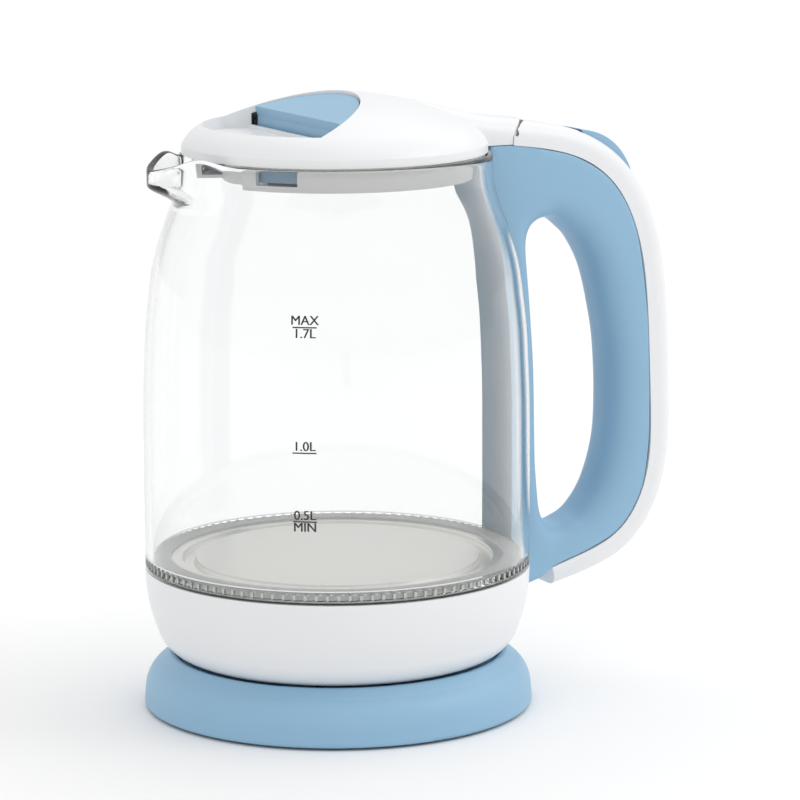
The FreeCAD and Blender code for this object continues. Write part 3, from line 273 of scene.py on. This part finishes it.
# Radius = R(z) + (reach - R(z)) * w(angle) * S(z): w is a raised cosine round the spout's
# line and S a smooth step up the neck. The rim's height rises in two ears beside the spout
# and drops at its tip. The inner wall is the outer one moved in along its normals, a rounded
# bead closes the rim, and the neck is then drawn down by a smooth step.
def makeGlass(s):
    angle = np.arange(s["around"]) / s["around"] * 2 * np.pi
    off = np.degrees(np.abs(angle - np.pi))
    beak = np.where(off < s["spoutHalfAngle"], 0.5 * (1 + np.cos(np.pi * off / s["spoutHalfAngle"])), 0)
    rise = (s["earRise"] * np.exp(-((off - s["earAngle"]) / s["earSpread"]) ** 2)
            - s["lipDrop"] * np.exp(-(off / s["lipSpread"]) ** 2))
    foot, top = s["heights"][0], s["heights"][-1]
    share = np.linspace(0, 1, s["up"])[:, None]
    z0 = foot + (top - foot) * (share ** 0.8)
    z = z0 + rise[None, :] * smoothStep((z0 - s["riseFrom"]) / (top - s["riseFrom"]))
    radius = glassRadius(z0)
    step = smoothStep((z0 - s["spoutFrom"]) / (s["spoutTo"] - s["spoutFrom"]))
    radius = radius + (s["spoutReach"] - radius) * beak[None, :] * step
    outer = np.stack([radius * np.cos(angle), radius * np.sin(angle), z + 0 * radius], 2)
    inner = outer - faceNormals(outer) * s["wall"]
    inner[..., 2] = np.maximum(inner[..., 2], foot)
    inner[0, :, 2] = foot
    inner[-1, :, 2] = outer[-1, :, 2]
    middle, half = (outer[-1] + inner[-1]) / 2, (outer[-1] - inner[-1]) / 2
    bead = [middle + half * math.cos(t) + np.array([0, 0, s["beadHeight"] * math.sin(t)])
            for t in np.radians([25, 50, 75, 105, 130, 155])]
    points = np.concatenate([outer, np.array(bead), inner[::-1]])
    points[..., 2] -= s["rimDrop"] * smoothStep((points[..., 2] - s["dropFrom"]) / s["dropOver"])
    return gridPiece("glassJug", points, blownGlass, "jug", ("glass_jug",), flip=True,
                     sharp=70)


makeGlass(glassShape)
print("glass made")

ringShape = {"inner": 73.4, "outer": 76.45, "low": 56.75, "high": 61.8, "ribs": 110, "ribDepth": 0.9,
             "bandTop": 58.4, "ribTop": 61.0, "perRib": 8, "bevel": 0.3, "ribInset": 0.1, "ease": 0.25}


# Radius of the face = outer - depth * |sin(ribs * angle / 2)| between the smooth bands
def makeRing(s):
    count = s["ribs"] * s["perRib"]
    angle = np.arange(count) / count * 2 * np.pi
    groove = s["ribDepth"] * np.abs(np.sin(s["ribs"] * angle / 2))
    outer, ribbed = s["outer"], s["outer"] - s["ribInset"]
    rows = [(s["inner"], s["low"], 0), (outer - s["bevel"], s["low"], 0), (outer, s["low"] + s["bevel"], 0),
            (outer, s["bandTop"], 0), (ribbed, s["bandTop"] + s["ease"], 1),
            (ribbed, (s["bandTop"] + s["ribTop"]) / 2, 1),
            (ribbed, s["ribTop"] - s["ease"], 1), (outer, s["ribTop"], 0),
            (outer - s["ease"], s["high"], 0), (s["inner"], s["high"], 0)]
    rings = []
    for radius, z, share in rows:
        r = radius - groove * share
        rings.append(np.stack([r * np.cos(angle), r * np.sin(angle), z + 0 * r], 1))
    return gridPiece("lightRing", np.array(rings), clearPoly, "jug", ("light_ring",),
                     flip=True, sharp=25)


toothShape = {"count": 112, "inner": 75.4, "outer": 76.42, "low": 58.7, "high": 60.7, "width": 1.1}


# Small upright blocks round the ring: each turns with its angle, width across and r outward
def makeTeeth(s):
    angle = np.arange(s["count"])[:, None] / s["count"] * 2 * np.pi
    r = np.array([s["inner"], s["outer"], s["outer"], s["inner"]] * 2)[None, :]
    across = np.array([-1, -1, 1, 1] * 2)[None, :] * s["width"] / 2
    z = np.array([s["low"]] * 4 + [s["high"]] * 4)[None, :] + 0 * angle
    points = np.stack([r * np.cos(angle) - across * np.sin(angle),
                       r * np.sin(angle) + across * np.cos(angle), z], 2)
    block = np.array([[3, 2, 1, 0], [4, 5, 6, 7], [0, 1, 5, 4], [1, 2, 6, 5], [2, 3, 7, 6], [3, 0, 4, 7]])
    faces = (block[None, :, :] + 8 * np.arange(s["count"])[:, None, None]).reshape(-1, 4)
    mesh = bpy.data.meshes.new("ringTeeth")
    mesh.from_pydata((points.reshape(-1, 3) / 1000).tolist(), [], faces.tolist())
    # The teeth's grey colour is painted shade of the ring's rib grooves
    return finishPiece("ringTeeth", mesh, paintedGrooveShadeTeeth, "jug", sharp=30)


makeRing(ringShape)
makeTeeth(toothShape)
print("ring made")

gripShape = {
    "holeX": [80.6, 82, 86, 91, 95.6, 101, 106.3, 112.3, 116.5, 119, 119.8, 118.5, 113.4, 106.3,
              99, 94, 89.6, 86.8, 85.6, 84.9, 84.2, 82.4],
    "holeZ": [176, 185, 189, 190, 188.7, 184.5, 178.7, 167, 150, 135, 112, 95, 79, 69.3,
              65.2, 64.4, 66.5, 72, 82, 100, 130, 155],
    "backX": [70, 62, 62, 70, 84.2, 102.1, 118.1, 129, 134.3, 135.5, 135.9, 135.3, 131.8, 122,
              108, 91.5, 84.5, 75, 74, 74, 74, 73],
    "backZ": [187, 204, 220.2, 221, 219.0, 214.2, 203.3, 183.7, 152, 130, 113, 93, 75, 60.8,
              53.5, 48.0, 43.7, 43.7, 62, 92, 126, 153],
    "half": 14.0, "rounding": 15.5, "gripPower": 2.4, "spinePower": 3.6, "spineFrom": 97.0,
    "glassGap": 0.3, "shellRadius": 76.5, "shellTop": 61.8, "spineOver": 10, "cheekEdge": 0.5,
    "rows": 330, "side": 26,
    "hingeX": 73.6, "hingeZ": 225.4, "recess": 9.3, "recessHalf": 11.6, "top": 220.9,
}


# The grip is a ring of sections round the finger hole. A section runs from the hole's edge to
# the parting line: across the handle it is half * (1 - (1 - d / rounding) ** power) ** (1 / power)
# at depth d, then flat. Where it meets the jug, x = sqrt((R(z) + gap) ** 2 - y ** 2), and under
# the lid's hinge it is hollowed by a cylinder.
def makeGrip(s):
    count = len(s["holeX"])
    at, knots = np.arange(s["rows"]) * count / s["rows"], np.arange(count)
    holeX, holeZ, backX, backZ = [smoothCurve(at, knots, s[k], count)
                                  for k in ("holeX", "holeZ", "backX", "backZ")]
    deep = np.hypot(backX - holeX, backZ - holeZ)
    spineShare = smoothStep((s["spineFrom"] - holeX) / s["spineOver"])
    power = (s["gripPower"] + (s["spinePower"] - s["gripPower"]) * spineShare)[:, None]
    rounding = np.minimum(s["rounding"], deep * 0.96)[:, None]
    lean = np.linspace(0, np.pi / 2, s["side"])[None, :]
    curveDepth = rounding * (1 - np.cos(lean) ** (2 / power))
    curveHalf = s["half"] * np.sin(lean) ** (2 / power)
    flat = rounding + (deep[:, None] - s["cheekEdge"] - rounding) * np.linspace(0.25, 1, 5)[None, :]
    cheekDepth = np.concatenate([curveDepth, flat, deep[:, None]], 1)
    cheekHalf = np.concatenate([curveHalf, s["half"] + 0 * flat,
                                s["half"] - s["cheekEdge"] + 0 * deep[:, None]], 1)
    edgeY, backY = s["recessHalf"], s["half"] - 2.0
    across = np.array([backY, edgeY + 0.1, edgeY, 8, 4, 0, -4, -8, -edgeY, -edgeY - 0.1, -backY])
    depth = np.concatenate([cheekDepth, deep[:, None] + 0 * across[None, :], cheekDepth[:, :0:-1]], 1)
    y = np.concatenate([cheekHalf, 0 * deep[:, None] + across[None, :], -cheekHalf[:, :0:-1]], 1)
    share = depth / deep[:, None]
    x = holeX[:, None] + (backX - holeX)[:, None] * share
    z = np.minimum(holeZ[:, None] + (backZ - holeZ)[:, None] * share, s["top"])
    onGlass = np.clip(z, glassShape["heights"][0], glassShape["heights"][-1])
    jug = np.where(z < s["shellTop"], s["shellRadius"], glassRadius(onGlass)) + s["glassGap"]
    x = np.maximum(x, np.sqrt(jug ** 2 - y ** 2))
    reach = s["recess"] ** 2 - (x - s["hingeX"]) ** 2
    hollow = s["hingeZ"] - np.sqrt(np.maximum(reach, 0))
    z = np.where((reach > 0) & (np.abs(y) <= edgeY + 0.01), np.minimum(z, hollow), z)
    return gridPiece("handleGrip", np.stack([x, y, z], 2), blueAbs, "jug",
                     ("handle_grip",), sharp=50)


postShape = {"x": 73.6, "z": 225.4, "knuckle": 2.8, "half": 4.0, "foot": 3.6, "footZ": 213.8,
             "middleDrop": 3, "arc": 24}


# The hinge post: an outline of a round knuckle over two straight sides, with its two end faces
def makePost(s):
    angle = np.linspace(0, np.pi, s["arc"])
    x = np.concatenate([s["x"] + s["knuckle"] * np.cos(angle), [s["x"] - s["foot"], s["x"] + s["foot"]]])
    z = np.concatenate([s["z"] + s["knuckle"] * np.sin(angle), [s["footZ"], s["footZ"]]])
    middleX, middleZ = 0 * x + s["x"], 0 * z + s["z"] - s["middleDrop"]
    rings = [(middleX, middleZ, -s["half"]), (x, z, -s["half"]), (x, z, s["half"]),
             (middleX, middleZ, s["half"])]
    points = np.array([np.stack([a, 0 * a + y, b], 1) for a, b, y in rings])
    return gridPiece("hingePost", points, blueAbs, "jug", sharp=30)


rockerShape = {"middle": (117.5, 216.3), "chord": (0.807, -0.590), "reach": 14.7, "crown": 4.4,
               "half": 8.5, "edge": 0.4, "endShare": 0.96, "arc": 40,
               "root": [(-9.9, -1.2), (0.0, -2.1), (9.9, -1.2)]}


# The rocker in its own plane: height = crown * (1 - (u / reach) ** 2) at u along its chord,
# with a shallow root that clears the pin under it, carried across with eased edges
def makeRocker(s):
    u = s["reach"] * np.sin(np.linspace(np.pi / 2, -np.pi / 2, s["arc"]))
    u, h = (np.concatenate([u, [p[0] for p in s["root"]]]),
            np.concatenate([s["crown"] * (1 - (u / s["reach"]) ** 2), [p[1] for p in s["root"]]]))
    (mx, mz), (cx, cz) = s["middle"], s["chord"]
    rings = []
    for y, scale in [(-s["half"], 0.0), (-s["half"], s["endShare"]), (-s["half"] + s["edge"], 1.0),
                     (s["half"] - s["edge"], 1.0), (s["half"], s["endShare"]), (s["half"], 0.0)]:
        a, b = u * scale, h * scale
        rings.append(np.stack([mx + cx * a - cz * b, 0 * a + y, mz + cz * a + cx * b], 1))
    return gridPiece("rockerCap", np.array(rings), blueAbs, "rocker", ("power_switch",),
                     sharp=40, flip=True)


makeGrip(gripShape)
makePost(postShape)
makeRocker(rockerShape)
print("handle grip and rocker made")

markShape = {"azimuth": -125.2, "capHeight": 3.5, "barHalf": 4.6, "barHeight": 0.5, "inkHeight": 0.03,
             "stroke": 0.09, "gap": 0.03, "strikeLift": 0.01, "capShare": 0.7, "columns": 13,
             "words": [("MAX", 165.7), ("1.7L", 160.8), ("1.0L", 118.1), ("0.5L", 91.6), ("MIN", 87.0)],
             "bars": [163.2, 115.7, 89.3]}


# Flat letters bent round the glass: angle = azimuth + x / R, height = y. Each word is struck
# twice, stroke to the left and to the right, for a bolder line.
def makeMarks(s):
    vertices, faces = [], []

    def addFlat(flat, polygons, z):
        start = sum(len(v) for v in vertices)
        y = flat[:, 1] + z
        r = glassRadius(y) + s["gap"] + flat[:, 2]
        angle = math.radians(s["azimuth"]) + flat[:, 0] / r
        vertices.append(np.stack([r * np.cos(angle), r * np.sin(angle), y], 1))
        faces.extend([[start + i for i in polygon] for polygon in polygons])

    strikes = [(word, z, shift) for word, z in s["words"] for shift in (-s["stroke"], s["stroke"])]
    for word, z, shift in strikes:
        curve = bpy.data.curves.new(word, "FONT")
        curve.body, curve.size = word, s["capHeight"] / s["capShare"]
        curve.align_x, curve.align_y, curve.extrude = "CENTER", "CENTER", s["inkHeight"]
        text = bpy.data.objects.new(word, curve)
        bpy.context.collection.objects.link(text)
        bpy.context.view_layer.update()
        mesh = bpy.data.meshes.new_from_object(text.evaluated_get(
            bpy.context.evaluated_depsgraph_get()))
        flat = np.zeros(len(mesh.vertices) * 3)
        mesh.vertices.foreach_get("co", flat)
        flat = flat.reshape(-1, 3) + np.array([shift, 0, s["strikeLift"] * (shift > 0)])
        addFlat(flat, [list(f.vertices) for f in mesh.polygons], z)
        bpy.data.objects.remove(text)
    for z in s["bars"]:
        x = np.linspace(-s["barHalf"], s["barHalf"], s["columns"])
        last = 4 * (s["columns"] - 1)
        h, k = s["barHeight"] / 2, s["inkHeight"]
        loop = np.array([(-h, -k), (h, -k), (h, k), (-h, k)])
        flat = np.array([(px, py, pz) for px in x for py, pz in loop])
        sides = [[4 * i + j, 4 * i + (j + 1) % 4, 4 * i + 4 + (j + 1) % 4, 4 * i + 4 + j]
                 for i in range(s["columns"] - 1) for j in range(4)]
        addFlat(flat, sides + [[3, 2, 1, 0], [last, last + 1, last + 2, last + 3]], z)
    mesh = bpy.data.meshes.new("levelMarks")
    mesh.from_pydata((np.concatenate(vertices) / 1000).tolist(), [], faces)
    return finishPiece("levelMarks", mesh, printedInk, "jug", sharp=30)


# Screen-printed enamel ink, fired on: nearly black, a little dull
printedInk = moulded("screenPrintedInk", "#202124", "#2A2B2E", 0.55, 0.4, 0.004)

makeMarks(markShape)
print("marks made")

cameraSettings = {"focal": 170.72, "distance": 1.4774, "height": 0.391, "turn": 26.0,
                  "yaw": 0.017, "pitch": 0.180, "roll": 0.004, "sensor": 36.0, "near": 0.05, "far": 20.0}
floorSettings = {"half": 6, "noiseScale": 3.0}
lightSettings = {"key": 3.0, "keySize": 0.8, "keyFrom": (1.3, -1.0, 1.4), "keyAim": (0, 0, 0.12),
                 "sun": 0.9, "sunAngle": 80.0, "sunFrom": (0.45, 0.02, 0.85), "world": 0.84}


# Camera in front of the jug, turned about it; its axes are right, up and back in that frame
def makeCamera(s):
    turn = math.radians(s["turn"])
    rowX = np.array([math.cos(turn), math.sin(turn), 0.0])
    rowY = np.array([-math.sin(turn), math.cos(turn), 0.0])
    cy, sy = math.cos(s["yaw"]), math.sin(s["yaw"])
    cp, sp = math.cos(s["pitch"]), math.sin(s["pitch"])
    cr, sr = math.cos(s["roll"]), math.sin(s["roll"])
    right0, up0 = np.array([cy, -sy, 0.0]), np.array([sy * sp, cy * sp, cp])
    ahead = np.array([sy * cp, cy * cp, -sp])
    right, up = cr * right0 - sr * up0, sr * right0 + cr * up0
    columns = [[float(v @ rowX), float(v @ rowY), float(v[2])] for v in (right, up, -ahead)]
    spot = np.array([0.0, -s["distance"], s["height"]])
    data = bpy.data.cameras.new("camera")
    data.lens, data.sensor_width = s["focal"], s["sensor"]
    data.clip_start, data.clip_end = s["near"], s["far"]
    camera = bpy.data.objects.new("camera", data)
    bpy.context.collection.objects.link(camera)
    matrix = Matrix.Identity(4)
    for k, axis in enumerate(columns):
        for i in range(3):
            matrix[i][k] = axis[i]
    matrix.translation = (float(spot @ rowX), float(spot @ rowY), float(spot[2]))
    camera.matrix_world = matrix
    bpy.context.scene.camera = camera


# A pale floor that runs on far behind
def makeFloor(s):
    half = s["half"]
    mesh = bpy.data.meshes.new("floor")
    mesh.from_pydata([(-half, -half, 0), (half, -half, 0), (half, half, 0), (-half, half, 0)],
                     [], [(0, 1, 2, 3)])
    floor = bpy.data.objects.new("floor", mesh)
    bpy.context.collection.objects.link(floor)
    material, tree, output = newMaterial("paleSweep")
    place = addNode(tree, "ShaderNodeTexCoord").outputs["Object"]
    noise = addNode(tree, "ShaderNodeTexNoise", {"Scale": s["noiseScale"]}, {"Vector": place})
    mix = addNode(tree, "ShaderNodeMix", {"data_type": "RGBA", 6: hexColour("#FAFAFA"),
                                          7: hexColour("#F6F6F6")}, {"Factor": noise.outputs["Fac"]})
    shader = addNode(tree, "ShaderNodeBsdfPrincipled", {"Roughness": 0.6, "Specular IOR Level": 0.2},
                     {"Base Color": mix.outputs[2]})
    tree.links.new(shader.outputs[0], output.inputs["Surface"])
    mesh.materials.append(material)


# A round soft lamp at one spot, turned to face the point that it aims at
def makeLight(name, power, size, spot, aim):
    data = bpy.data.lights.new(name, "AREA")
    data.shape, data.size, data.energy = "DISK", size, power
    light = bpy.data.objects.new(name, data)
    light.location = spot
    light.rotation_mode = "QUATERNION"
    light.rotation_quaternion = (Vector(aim) - Vector(spot)).to_track_quat("-Z", "Y")
    bpy.context.collection.objects.link(light)


# A wide soft sun from the upper right, which lights the floor alike near and far
def makeSun(strength, angle, spot):
    data = bpy.data.lights.new("softSun", "SUN")
    data.energy, data.angle = strength, math.radians(angle)
    sun = bpy.data.objects.new("softSun", data)
    sun.rotation_mode = "QUATERNION"
    sun.rotation_quaternion = Vector(spot).to_track_quat("Z", "Y")
    bpy.context.collection.objects.link(sun)


# Even white light all round
def makeWorld(strength):
    world = bpy.data.worlds.new("world")
    world.use_nodes = True
    background = world.node_tree.nodes["Background"]
    background.inputs["Color"].default_value = (1.0, 1.0, 1.0, 1.0)
    background.inputs["Strength"].default_value = strength
    bpy.context.scene.world = world


makeCamera(cameraSettings)
makeFloor(floorSettings)
makeWorld(lightSettings["world"])
makeSun(lightSettings["sun"], lightSettings["sunAngle"], lightSettings["sunFrom"])
makeLight("keyLight", lightSettings["key"], lightSettings["keySize"], lightSettings["keyFrom"],
          lightSettings["keyAim"])
bpy.context.scene.view_settings.view_transform = "Standard"
print("camera, floor and light made")
